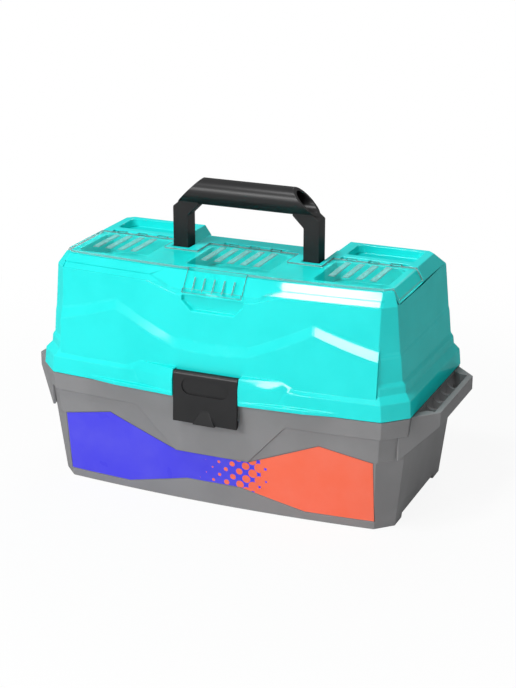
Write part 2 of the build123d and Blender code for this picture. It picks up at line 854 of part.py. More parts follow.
with BuildPart() as lid_shell:
    loft([*skirt_levels(0), *wall_levels(0), deck_level(lid_top, 0)], ruled=True)
    add(front_panel.part)
    add(latch_cheek.part)
    mirror(latch_cheek.part, about=Plane.YZ)
    add(lid_cavity.part, mode=Mode.SUBTRACT)
    add(front_groove.part, mode=Mode.SUBTRACT)
    with BuildSketch(facet_plane):
        facet_points = [
            (facet_waist_half, 0),
            (facet_wide_half, facet_length * facet_wide_share),
            (facet_top_half, facet_length),
        ]
        with BuildLine():
            Polyline(*both_sides(facet_points), close=True)
        make_face()
    extrude(amount=facet_drop, mode=Mode.SUBTRACT)
    scoop_points = [
        (scoop_half_foot, scoop_foot),
        (scoop_half_top, mix(scoop_foot, scoop_top, scoop_half_foot / scoop_half_top)),
        (scoop_half_top, scoop_top),
    ]
    add(front_prism(both_sides(scoop_points), scoop_back, overrun), mode=Mode.SUBTRACT)
    add(cover_seat.part, mode=Mode.SUBTRACT)
    for low, high in recess_blocks(0):
        add(box_between(low, high), mode=Mode.SUBTRACT)
    for middle, knuckles in cover_windows():
        groove_half = (knuckles[-1] - knuckles[0] + knuckle_pitch) / 2
        groove_ends = (middle - groove_half, middle + groove_half)
        add(rod(*groove_ends, cover_hinge_y, cover_hinge_z, cover_groove), mode=Mode.SUBTRACT)
        lead_low = (groove_ends[0], cover_rear, cover_floor - fit_gap)
        lead_high = (groove_ends[1], cover_hinge_y + cover_groove, lid_top + overrun)
        add(box_between(lead_low, lead_high), mode=Mode.SUBTRACT)
        lid_knuckle = knuckle_pitch - knuckle_length - fit_gap * 2
        for place in knuckles[:-1]:
            start = place + knuckle_length / 2 + fit_gap
            add(rod(start, start + lid_knuckle, cover_hinge_y, cover_hinge_z, cover_barrel))
            add(
                box_between(
                    (start, cover_hinge_y, cover_hinge_z - cover_groove - fit_gap),
                    (start + lid_knuckle, cover_hinge_y + cover_groove + fit_gap, cover_hinge_z),
                )
            )
        axle_ends = (knuckles[0] - knuckle_length / 2, knuckles[-1] + knuckle_length / 2)
        add(rod(*axle_ends, cover_hinge_y, cover_hinge_z, cover_pin_radius))
    for side in (-1, 1):
        pin_ends = (side * (leg_inner - socket_gap - wall), side * (leg_outer + socket_gap + wall))
        bore = handle_pin_radius + pin_clearance
        add(rod(*pin_ends, handle_pivot_y, handle_pivot_z, bore), mode=Mode.SUBTRACT)
        boss_ends = (side * arm_inner, side * (wall_top_length / 2))
        add(rod(*boss_ends, lid_pivot_y, lid_pivot_z, pivot_boss))
        stud_ends = (side * (tray_half - tray_wall - fit_gap), side * arm_inner)
        add(rod(*stud_ends, lid_pivot_y, lid_pivot_z, stud_radius))
        latch_bore = (side * cheek_inner, side * (cheek_inner + cheek_rise + latch_gap))
        bore = latch_pin_radius + pin_clearance
        add(rod(*latch_bore, latch_pivot_y, latch_pivot_z, bore), mode=Mode.SUBTRACT)
        middle = side * hinge_span / 2
        hinge_ends = (middle - hinge_lid_knuckle / 2, middle + hinge_lid_knuckle / 2)
        add(rod(*hinge_ends, hinge_y, hinge_z, hinge_barrel))
        web_top = split_height + skirt_height
        web = [
            (hinge_y - hinge_barrel, hinge_z),
            (hinge_y + hinge_barrel, hinge_z),
            (hinge_y + hinge_barrel, split_height),
            (skirt_depth / 2 - skirt_draft, web_top),
            (skirt_depth / 2 - wall, web_top),
            (skirt_depth / 2 - wall, split_height),
            (hinge_y - hinge_barrel, split_height),
        ]
        add(side_prism(web, *hinge_ends))
        add(rod(*hinge_ends, hinge_y, hinge_z, hinge_pin_radius + pin_clearance), mode=Mode.SUBTRACT)
finish(lid_shell.part, "lid_shell")

# Clear cover over the top pockets
with BuildPart() as flap_blocks:
    for side in (-1, 1):
        add(flap_block(side, 0))

with BuildPart() as cover_flaps:
    loft([wall_levels(0)[-1], deck_level(lid_top, 0)], ruled=True)
    add(flap_blocks.part, mode=Mode.INTERSECT)
    loft(
        [wall_levels(cover_thickness)[-1], deck_level(lid_top, cover_thickness)],
        ruled=True,
        mode=Mode.SUBTRACT,
    )

with BuildPart() as top_cover:
    add(deck_level(cover_floor, 0))
    extrude(amount=cover_thickness)
    add(
        box_between(
            (-skirt_length, cover_rear, 0),
            (skirt_length, skirt_depth, lid_top + overrun),
        ),
        mode=Mode.SUBTRACT,
    )
    add(cover_flaps.part)
    for side in (-1, 1):
        near, far = sorted((side * (boss_inner - fit_gap), side * (boss_outer + fit_gap)))
        notch = box_between((near, -boss_front - fit_gap, 0), (far, skirt_depth, lid_top + overrun))
        add(notch, mode=Mode.SUBTRACT)
    for middle, knuckles in cover_windows():
        for place in knuckles:
            ends = (place - knuckle_length / 2, place + knuckle_length / 2)
            add(rod(*ends, cover_hinge_y, cover_hinge_z, cover_barrel))
            add(box_between((ends[0], cover_rear - wall, cover_floor), (ends[1], cover_hinge_y, lid_top)))
            bore = cover_pin_radius + pin_clearance
            add(rod(*ends, cover_hinge_y, cover_hinge_z, bore), mode=Mode.SUBTRACT)
        rib_count = ribs_middle if middle == 0 else ribs_side
        for index in range(rib_count):
            rib_x = middle + rib_pitch * (index - (rib_count - 1) / 2)
            add(
                box_between(
                    (rib_x - rib_width / 2, -rib_front, lid_top - rib_height),
                    (rib_x + rib_width / 2, rib_length - rib_front, lid_top + rib_height),
                )
            )
    add(
        box_between(
            (-tab_length / 2, -deck_front - front_bow - tab_thickness, cover_floor),
            (tab_length / 2, -deck_front, lid_top),
        )
    )
    with BuildSketch(facet_plane.offset(fit_gap)):
        Rectangle(tab_length, facet_length, align=(Align.CENTER, Align.MIN))
    extrude(amount=tab_thickness)
    with BuildSketch(facet_plane.offset(fit_gap)):
        Rectangle(tab_length, tab_lip, align=(Align.CENTER, Align.CENTER))
    extrude(amount=tab_thickness + tab_lip / 2)
    with BuildSketch(facet_plane.offset(fit_gap)):
        for index in range(tab_ribs):
            rib_x = tab_length * ((index + 1) / (tab_ribs + 1) - 1 / 2)
            with Locations((rib_x, 0)):
                Rectangle(tab_rib, facet_length * tab_rib_share, align=(Align.CENTER, Align.MIN))
    extrude(amount=tab_thickness + tab_rib)
finish(top_cover.part, "top_cover")

# Folding handle
with BuildPart() as handle:
    with BuildSketch(Plane.XZ.offset(-handle_pivot_y - leg_depth / 2)):
        for side in (-1, 1):
            with BuildLine():
                Polyline(
                    (side * leg_inner, handle_pivot_z),
                    (side * leg_outer, handle_pivot_z),
                    (side * leg_outer, shoulder_height),
                    (side * (leg_outer - shoulder_cut), grip_height - grip_radius / 2),
                    (side * (leg_inner - shoulder_cut), grip_height - grip_radius / 2),
                    (side * (leg_inner - shoulder_cut), grip_height - grip_radius),
                    (side * leg_inner, grip_height - grip_radius - shoulder_cut),
                    close=True,
                )
            make_face()
    extrude(amount=leg_depth)
    for side in (-1, 1):
        add(rod(side * leg_inner, side * leg_outer, handle_pivot_y, handle_pivot_z, leg_depth / 2))
    grip_half_foot = grip_half_top + grip_radius * 2
    add(rod(-grip_half_foot, grip_half_foot, handle_pivot_y, grip_height, grip_radius))
    for side in (-1, 1):
        hollow_start = side * (grip_half_foot - grip_hollow_depth - grip_radius)
        hollow_end = side * (grip_half_foot + overrun)
        add(rod(hollow_start, hollow_end, handle_pivot_y, grip_height, grip_hollow), mode=Mode.SUBTRACT)
    with BuildSketch(Plane.XZ.offset(-handle_pivot_y - grip_radius - fit_gap)):
        for side in (-1, 1):
            with BuildLine():
                Polyline(
                    (side * grip_half_top, grip_height + grip_radius),
                    (side * grip_half_foot, grip_height - grip_radius),
                    (side * (grip_half_foot + overrun), grip_height - grip_radius),
                    (side * (grip_half_foot + overrun), grip_height + grip_radius + overrun),
                    (side * grip_half_top, grip_height + grip_radius + overrun),
                    close=True,
                )
            make_face()
    extrude(amount=2 * (grip_radius + fit_gap), mode=Mode.SUBTRACT)
    for side in (-1, 1):
        bore = handle_pin_radius + pin_clearance
        bore_ends = (side * (leg_inner - overrun), side * (leg_outer + overrun))
        add(rod(*bore_ends, handle_pivot_y, handle_pivot_z, bore), mode=Mode.SUBTRACT)
finish(handle.part, "handle")

with BuildPart() as handle_pins:
    for side in (-1, 1):
        pin_ends = (side * (leg_inner - socket_gap - wall), side * (leg_outer + socket_gap + wall))
        add(rod(*pin_ends, handle_pivot_y, handle_pivot_z, handle_pin_radius))
finish(handle_pins.part, "handle_pins")

# Latch
with BuildPart() as latch:
    half = latch_length / 2
    outer_top = latch_pivot_y - latch_barrel
    outer_foot = outer_top - latch_lean
    inner_foot = outer_foot + latch_plate
    nose_tip = catch_front - fit_gap
    profile = [
        (outer_top, latch_pivot_z),
        (outer_foot, latch_foot),
        (inner_foot, latch_foot),
        (nose_tip, latch_foot + latch_plate),
        (nose_tip, catch_foot - fit_gap - latch_plate / 2),
        (inner_foot, catch_foot - fit_gap),
        (outer_top + latch_plate, latch_pivot_z),
    ]
    add(side_prism(profile, -half, half))
    add(rod(-half, half, latch_pivot_y, latch_pivot_z, latch_barrel))
    pad_share = (latch_pivot_z - latch_pad_middle) / (latch_pivot_z - latch_foot)
    pad_floor = mix(-outer_top, -outer_foot, pad_share) - latch_pad_depth
    with BuildSketch(Plane.XZ.offset(pad_floor)):
        with Locations((0, latch_pad_middle)):
            SlotOverall(latch_pad_length, latch_pad_height)
    extrude(amount=overrun, mode=Mode.SUBTRACT)
    thumb_share = thumb_height / (latch_pivot_z - latch_foot)
    thumb_head = mix(outer_foot, outer_top, thumb_share)
    with BuildSketch(Plane.XY.offset(latch_foot)):
        with Locations((0, outer_foot - thumb_rise)):
            Rectangle(thumb_width, latch_plate / 2 + thumb_rise, align=(Align.CENTER, Align.MIN))
    with BuildSketch(Plane.XY.offset(latch_foot + thumb_height)):
        with Locations((0, thumb_head)):
            Rectangle(thumb_top_width, latch_plate / 2, align=(Align.CENTER, Align.MIN))
    loft(ruled=True)
    bore = latch_pin_radius + pin_clearance
    add(rod(-half, half, latch_pivot_y, latch_pivot_z, bore), mode=Mode.SUBTRACT)
finish(latch.part, "latch")

with BuildPart() as latch_pin:
    pin_half = cheek_inner + cheek_rise
    add(rod(-pin_half, pin_half, latch_pivot_y, latch_pivot_z, latch_pin_radius))
finish(latch_pin.part, "latch_pin")

# Pins of the lid's hinge
with BuildPart() as lid_hinge_pins:
    for side in (-1, 1):
        middle = side * hinge_span / 2
        pin_half = hinge_lid_knuckle / 2 + fit_gap + hinge_base_knuckle
        add(rod(middle - pin_half, middle + pin_half, hinge_y, hinge_z, hinge_pin_radius))
finish(lid_hinge_pins.part, "lid_hinge_pins")


# Cantilever linkage
def arm_point(pivot_y, pivot_z, length):
    """Place on an arm at rest, at a distance from its pivot."""
    return (pivot_y - length * arm_back, pivot_z + length * arm_up)


arm_rows = {"front": arm_pivot_y - arm_spacing, "rear": arm_pivot_y}
for row, row_y in arm_rows.items():
    for hand, side in (("left", -1), ("right", 1)):
        near = min(side * arm_inner, side * arm_outer)
        with BuildPart() as arm:
            with BuildSketch(Plane.YZ.offset(near)):
                with Locations(arm_point(row_y, arm_pivot_z, lid_arm_length / 2)):
                    SlotCenterToCenter(lid_arm_length, arm_width, rotation=-arm_rest_angle)
                with Locations(*[arm_point(row_y, arm_pivot_z, length) for length in [0, *tray_arm_lengths]]):
                    Circle(stud_radius + pin_clearance, mode=Mode.SUBTRACT)
            extrude(amount=arm_thickness)
        finish(arm.part, f"arm_{row}_{hand}")

# Trays with their studs and dividers
for index, name in enumerate(tray_names):
    foot = tray_foot + tray_pitch * index
    tray_middle_y = tray_front + tray_depth / 2
    inner_depth = tray_depth - tray_wall * 2
    inner_length = tray_length - tray_wall * 2
    divider_count = divider_counts[index]
    divider_pitch = inner_length / (divider_count + 1)
    divider_places = [divider_pitch * (place + 1) - inner_length / 2 for place in range(divider_count)]
    pivots = [arm_point(row_y, arm_pivot_z, tray_arm_lengths[index]) for row_y in arm_rows.values()]

    with BuildPart() as tray:
        with BuildSketch(Plane.XY.offset(foot)):
            with Locations((0, tray_middle_y)):
                RectangleRounded(tray_length, tray_depth, tray_corner)
        extrude(amount=tray_height)
        with BuildSketch(Plane.XY.offset(foot + tray_wall)):
            with Locations((0, tray_middle_y)):
                RectangleRounded(inner_length, inner_depth, tray_corner - tray_wall)
        extrude(amount=tray_height, mode=Mode.SUBTRACT)
        guide_offset = (divider_thickness + guide_rib) / 2 + fit_gap
        for place in divider_places:
            for guide_x in (place - guide_offset, place + guide_offset):
                for edge in (-1, 1):
                    guide_y = tray_middle_y + edge * (inner_depth - guide_depth) / 2
                    with Locations((guide_x, guide_y, foot + tray_wall)):
                        Box(
                            guide_rib,
                            guide_depth,
                            divider_height,
                            align=(Align.CENTER, Align.CENTER, Align.MIN),
                        )
        for side in (-1, 1):
            stud_ends = (side * (tray_half - tray_wall), side * (arm_outer + fit_gap))
            for pivot_y, pivot_z in pivots:
                add(rod(*stud_ends, pivot_y, pivot_z, stud_radius))
        if name == tray_names[-1]:
            bore = stud_radius + pin_clearance
            add(rod(-tray_half, tray_half, lid_pivot_y, lid_pivot_z, bore), mode=Mode.SUBTRACT)
    finish(tray.part, f"tray_{name}")

    with BuildPart() as dividers:
        for place in divider_places:
            with Locations((place, tray_middle_y, foot + tray_wall)):
                Box(
                    divider_thickness,
                    inner_depth - fit_gap * 2,
                    divider_height,
                    align=(Align.CENTER, Align.CENTER, Align.MIN),
                )
    finish(dividers.part, f"dividers_{name}")
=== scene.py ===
"""Looks of a three-tray tackle box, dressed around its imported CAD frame.

Every rigid piece keeps the outline of its CAD node: a copy of the node is cleaned, its edges are rounded, and it
takes a moulded, clear, printed or steel finish. Only the frosted rib faces of the clear cover are a piece of their
own. Sizes are in metres, in the frame of the CAD model.
"""
import logging
import math
from dataclasses import dataclass, field, replace
from enum import Enum
from typing import Any, Optional

import bmesh
import bpy
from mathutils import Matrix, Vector
from mathutils.bvhtree import BVHTree


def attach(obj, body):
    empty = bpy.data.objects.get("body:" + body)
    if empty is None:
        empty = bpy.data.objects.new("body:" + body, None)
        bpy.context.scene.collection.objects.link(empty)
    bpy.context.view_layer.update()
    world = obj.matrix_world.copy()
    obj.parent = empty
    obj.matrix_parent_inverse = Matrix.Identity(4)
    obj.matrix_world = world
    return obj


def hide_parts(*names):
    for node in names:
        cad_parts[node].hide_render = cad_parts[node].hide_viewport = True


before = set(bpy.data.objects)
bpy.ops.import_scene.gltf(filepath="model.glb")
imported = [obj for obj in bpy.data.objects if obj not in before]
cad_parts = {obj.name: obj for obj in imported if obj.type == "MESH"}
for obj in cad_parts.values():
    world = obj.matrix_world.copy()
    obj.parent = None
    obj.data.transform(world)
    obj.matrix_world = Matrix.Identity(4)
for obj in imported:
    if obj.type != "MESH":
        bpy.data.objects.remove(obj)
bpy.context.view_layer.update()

LOG = logging.getLogger("tackle_box")
MM = 0.001
EDGE_ATTRIBUTE = "rubbed_edge"
ROUNDED_SLOT = 1

Colour = tuple[float, float, float, float]
Point = tuple[float, float, float]
Span = tuple[float, float]
Number = float | bpy.types.NodeSocket
Tone = Colour | bpy.types.NodeSocket

WHITE: Colour = (1.0, 1.0, 1.0, 1.0)
NOISE_SPAN: Span = (0.2, 0.8)
SRGB_BEND = 0.04045
SRGB_SLOPE = 12.92
SRGB_LIFT = 0.055
SRGB_POWER = 2.4


class Slot(Enum):
    """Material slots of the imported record."""

    TUB = "tub_plastic"
    LID = "lid_plastic"
    BLACK = "black_plastic"
    CLEAR = "clear_plastic"
    TRAY = "tray_plastic"
    FILM = "printed_film"
    STEEL = "pin_steel"


def linear(value: float) -> float:
    """Turns one channel of a screen colour, from 0 to 1, into linear light."""
    if value <= SRGB_BEND:
        return value / SRGB_SLOPE
    return ((value + SRGB_LIFT) / (1 + SRGB_LIFT)) ** SRGB_POWER


def srgb(code: str) -> Colour:
    """Turns a hex colour into a linear one.

    Args:
        code: Six hex digits after a hash sign.

    Returns:
        Red, green, blue and an alpha of 1.
    """
    red, green, blue = (linear(int(code[start : start + 2], 16) / 255) for start in (1, 3, 5))
    return red, green, blue, 1.0


class Graph:
    """A node tree that is being wired, for shaders and for geometry."""

    def __init__(self, tree: bpy.types.NodeTree) -> None:
        """Starts from an empty tree."""
        self.tree = tree
        tree.nodes.clear()

    def link(self, source: bpy.types.NodeSocket, target: bpy.types.NodeSocket) -> None:
        """Links an output to an input."""
        self.tree.links.new(source, target)

    def add(self, kind: str, inputs: Optional[dict[str | int, Any]] = None, **settings: Any) -> bpy.types.Node:
        """Adds a node.

        Args:
            kind: The node's type name.
            inputs: A value or a socket to link, for each input by name or number.
            settings: Properties of the node, set before its inputs.

        Returns:
            The new node.
        """
        node = self.tree.nodes.new(kind)
        for name, value in settings.items():
            setattr(node, name, value)
        for key, value in (inputs or {}).items():
            if isinstance(value, bpy.types.NodeSocket):
                self.link(value, node.inputs[key])
            else:
                node.inputs[key].default_value = value
        return node

    def math(
        self, operation: str, first: Number, second: Number = 0.0, clamp: bool = False
    ) -> bpy.types.NodeSocket:
        """Adds a sum of one or two values.

        Args:
            operation: The Math node's operation.
            first: A value or a socket.
            second: A value or a socket.
            clamp: Whether the result stays between 0 and 1.

        Returns:
            The result's socket.
        """
        node = self.add("ShaderNodeMath", {0: first, 1: second}, operation=operation, use_clamp=clamp)
        return node.outputs[0]

    def mix(self, factor: Number, first: Tone, second: Tone) -> bpy.types.NodeSocket:
        """Mixes two colours.

        Args:
            factor: How much of the second colour, as a value or a socket.
            first: A colour or a socket.
            second: A colour or a socket.

        Returns:
            The mixed colour's socket.
        """
        # The node has sockets of the same name for each kind of data; these numbers are the colours.
        node = self.add("ShaderNodeMix", {0: factor, 6: first, 7: second}, data_type="RGBA")
        return node.outputs[2]

    def ramp(self, value: Number, span: Span, result: Span = (0.0, 1.0)) -> bpy.types.NodeSocket:
        """Maps a value smoothly from one range to another.

        Args:
            value: A value or a socket.
            span: Start and end of the value's range.
            result: Result at the start and at the end.

        Returns:
            The result's socket.
        """
        values = {"Value": value, "From Min": span[0], "From Max": span[1]}
        values |= {"To Min": result[0], "To Max": result[1]}
        return self.add("ShaderNodeMapRange", values, interpolation_type="SMOOTHSTEP").outputs[0]

    def noise(self, vector: bpy.types.NodeSocket, scale: Number, detail: float = 2.0) -> bpy.types.NodeSocket:
        """Adds a noise texture and returns its value's socket."""
        node = self.add("ShaderNodeTexNoise", {"Vector": vector, "Scale": scale, "Detail": detail})
        return node.outputs[0]

    def bump(self, height: bpy.types.NodeSocket, distance: float, strength: float) -> bpy.types.NodeSocket:
        """Adds a bump of a given depth and strength and returns its normal's socket."""
        node = self.add("ShaderNodeBump", {"Strength": strength, "Distance": distance, "Height": height})
        return node.outputs[0]

    def place(self) -> bpy.types.NodeSocket:
        """Gives the place on the piece, in the frame of the CAD model."""
        return self.add("ShaderNodeTexCoord").outputs["Object"]


class ShaderGroups:
    """Effects that several finishes share, each built once as a node group."""

    GRAIN_DETAIL = 3.0
    MOTTLE_DETAIL = 4.0
    MOTTLE_SPAN: Span = (0.35, 0.7)
    MOTTLE_SHARE = 0.7
    NOISE_MEAN = 0.5
    RUB_SCALE = 90.0
    RUB_DETAIL = 5.0
    RUB_SPAN: Span = (0.3, 0.75)
    _made: dict[str, bpy.types.NodeTree] = {}

    @classmethod
    def _start(
        cls, name: str, takes: dict[str, str], gives: dict[str, str]
    ) -> tuple[Graph, bpy.types.NodeOutputs, bpy.types.NodeInputs]:
        """Starts a group with named sockets.

        Args:
            name: The group's name.
            takes: Kind of each input, by name.
            gives: Kind of each output, by name.

        Returns:
            The graph, the sockets of its inputs and the sockets of its outputs.
        """
        tree = bpy.data.node_groups.new(name, "ShaderNodeTree")
        for way, sockets in (("INPUT", takes), ("OUTPUT", gives)):
            for title, kind in sockets.items():
                tree.interface.new_socket(title, in_out=way, socket_type=f"NodeSocket{kind}")
        graph = Graph(tree)
        cls._made[name] = tree
        return graph, graph.add("NodeGroupInput").outputs, graph.add("NodeGroupOutput").inputs

    @classmethod
    def moulded_grain(cls) -> bpy.types.NodeTree:
        """Fine grain, faint mottle and uneven gloss of a moulded surface."""
        name = "moulded_grain"
        if name in cls._made:
            return cls._made[name]
        takes = {"Vector": "Vector", "Colour": "Color", "Deep": "Color"}
        takes |= {"Grain": "Float", "Mottle": "Float", "Gloss": "Float", "Spread": "Float"}
        graph, take, give = cls._start(name, takes, {"Colour": "Color", "Roughness": "Float", "Height": "Float"})
        fine = graph.noise(take["Vector"], take["Grain"], cls.GRAIN_DETAIL)
        broad = graph.noise(take["Vector"], take["Mottle"], cls.MOTTLE_DETAIL)
        cloud = graph.ramp(broad, cls.MOTTLE_SPAN)
        graph.link(graph.mix(cloud, take["Colour"], take["Deep"]), give["Colour"])
        patches = graph.math("MULTIPLY", broad, cls.MOTTLE_SHARE)
        specks = graph.math("MULTIPLY", fine, 1 - cls.MOTTLE_SHARE)
        wander = graph.math("SUBTRACT", graph.math("ADD", patches, specks), cls.NOISE_MEAN)
        values = {0: wander, 1: take["Spread"], 2: take["Gloss"]}
        rough = graph.add("ShaderNodeMath", values, operation="MULTIPLY_ADD")
        graph.link(rough.outputs[0], give["Roughness"])
        graph.link(fine, give["Height"])
        return graph.tree

    @classmethod
    def rubbed_edges(cls) -> bpy.types.NodeTree:
        """Lighter, patchy rub along the rounded edges of a piece."""
        name = "rubbed_edges"
        if name in cls._made:
            return cls._made[name]
        takes = {"Vector": "Vector", "Edge": "Float", "Colour": "Color", "Rub": "Color", "Share": "Float"}
        graph, take, give = cls._start(name, takes, {"Colour": "Color"})
        patches = graph.ramp(graph.noise(take["Vector"], cls.RUB_SCALE, cls.RUB_DETAIL), cls.RUB_SPAN)
        rubbed = graph.math("MULTIPLY", take["Edge"], patches)
        mask = graph.math("MULTIPLY", rubbed, take["Share"], clamp=True)
        graph.link(graph.mix(mask, take["Colour"], take["Rub"]), give["Colour"])
        return graph.tree


def new_material(name: str) -> tuple[bpy.types.Material, Graph, bpy.types.NodeSocket]:
    """Starts a node material.

    Args:
        name: The material's name.

    Returns:
        The material, its graph and the socket of its surface.
    """
    material = bpy.data.materials.new(name)
    material.use_nodes = True
    graph = Graph(material.node_tree)
    return material, graph, graph.add("ShaderNodeOutputMaterial").inputs["Surface"]


@dataclass(frozen=True)
class Finish:
    """A surface of the box, with the slot of the record that it belongs to."""

    name: str
    slot: Slot

    def material(self) -> bpy.types.Material:
        """Builds the finish as a node material."""
        raise NotImplementedError


@dataclass(frozen=True)
class MouldedFinish(Finish):
    """Opaque moulded plastic with grain and rubbed edges.

    Attributes:
        colour: Colour of the plastic.
        deep: Colour of its mottle.
        rub: Colour of its rubbed edges.
        gloss: Mean roughness, which the grain varies by spread.
        grain: Scale of the fine grain, whose relief is in metres.
        mottle: Scale of the broad mottle.
        shine: Specular level below the coat, which carries the reflections.
    """

    colour: str
    deep: str
    rub: str
    gloss: float = 0.3
    spread: float = 0.12
    grain: float = 2600.0
    mottle: float = 16.0
    relief: float = 0.04 * MM
    relief_share: float = 0.25
    rub_share: float = 0.35
    shine: float = 0.0
    coat: float = 0.12
    coat_gloss: float = 0.12
    coat_ior: float = 2.4

    def material(self) -> bpy.types.Material:
        """Builds the finish as a node material."""
        material, graph, surface = new_material(self.name)
        place = graph.place()
        values = {"Vector": place, "Colour": srgb(self.colour), "Deep": srgb(self.deep), "Grain": self.grain}
        values |= {"Mottle": self.mottle, "Gloss": self.gloss, "Spread": self.spread}
        grain = graph.add("ShaderNodeGroup", values, node_tree=ShaderGroups.moulded_grain()).outputs
        edge = graph.add("ShaderNodeAttribute", attribute_name=EDGE_ATTRIBUTE).outputs["Fac"]
        values = {"Vector": place, "Edge": edge, "Colour": grain["Colour"]}
        values |= {"Rub": srgb(self.rub), "Share": self.rub_share}
        rubbed = graph.add("ShaderNodeGroup", values, node_tree=ShaderGroups.rubbed_edges()).outputs
        shader = graph.add(
            "ShaderNodeBsdfPrincipled",
            {
                "Base Color": rubbed["Colour"],
                "Roughness": grain["Roughness"],
                "Specular IOR Level": self.shine,
                "Coat Weight": self.coat,
                "Coat Roughness": self.coat_gloss,
                "Coat IOR": self.coat_ior,
                "Normal": graph.bump(grain["Height"], self.relief, self.relief_share),
            },
        )
        graph.link(shader.outputs[0], surface)
        return material


@dataclass(frozen=True)
class ClearFinish(Finish):
    """Clear moulded plastic that lets lamps through to what it covers.

    Attributes:
        tint: Colour of what shows through.
        gloss: Mean roughness, which grain and mottle vary by spread.
        ior: Low enough that light leaves the thin sheet at its edges.
    """

    tint: str
    gloss: float = 0.03
    spread: float = 0.05
    grain: float = 400.0
    mottle: float = 24.0
    ior: float = 1.03

    def material(self) -> bpy.types.Material:
        """Builds the finish as a node material."""
        material, graph, surface = new_material(self.name)
        values = {"Vector": graph.place(), "Grain": self.grain, "Mottle": self.mottle}
        values |= {"Gloss": self.gloss, "Spread": self.spread}
        grain = graph.add("ShaderNodeGroup", values, node_tree=ShaderGroups.moulded_grain()).outputs
        shader = graph.add(
            "ShaderNodeBsdfPrincipled",
            {
                "Base Color": srgb(self.tint),
                "Roughness": grain["Roughness"],
                "IOR": self.ior,
                "Transmission Weight": 1.0,
            },
        )
        film = graph.add("ShaderNodeBsdfTransparent", {"Color": srgb(self.tint)})
        lamp_ray = graph.add("ShaderNodeLightPath").outputs["Is Shadow Ray"]
        both = graph.add("ShaderNodeMixShader", {0: lamp_ray, 1: shader.outputs[0], 2: film.outputs[0]})
        graph.link(both.outputs[0], surface)
        return material


@dataclass(frozen=True)
class FrostedFinish(Finish):
    """Finely textured clear plastic that shows what is behind it as a haze.

    Attributes:
        colour: Colour of the haze.
        haze: Mean cover of the haze, which its specks vary by haze_spread.
        speck: Scale of the specks, whose relief is in metres.
    """

    colour: str
    haze: float
    haze_spread: float = 0.12
    speck: float = 900.0
    relief: float = 0.05 * MM
    relief_share: float = 0.3
    gloss: float = 0.42
    shine: float = 0.1

    def material(self) -> bpy.types.Material:
        """Builds the finish as a node material."""
        material, graph, surface = new_material(self.name)
        speck = graph.noise(graph.place(), self.speck)
        shader = graph.add(
            "ShaderNodeBsdfPrincipled",
            {
                "Base Color": srgb(self.colour),
                "Roughness": self.gloss,
                "Specular IOR Level": self.shine,
                "Alpha": graph.ramp(speck, NOISE_SPAN, (self.haze - self.haze_spread, self.haze + self.haze_spread)),
                "Normal": graph.bump(speck, self.relief, self.relief_share),
            },
        )
        graph.link(shader.outputs[0], surface)
        return material


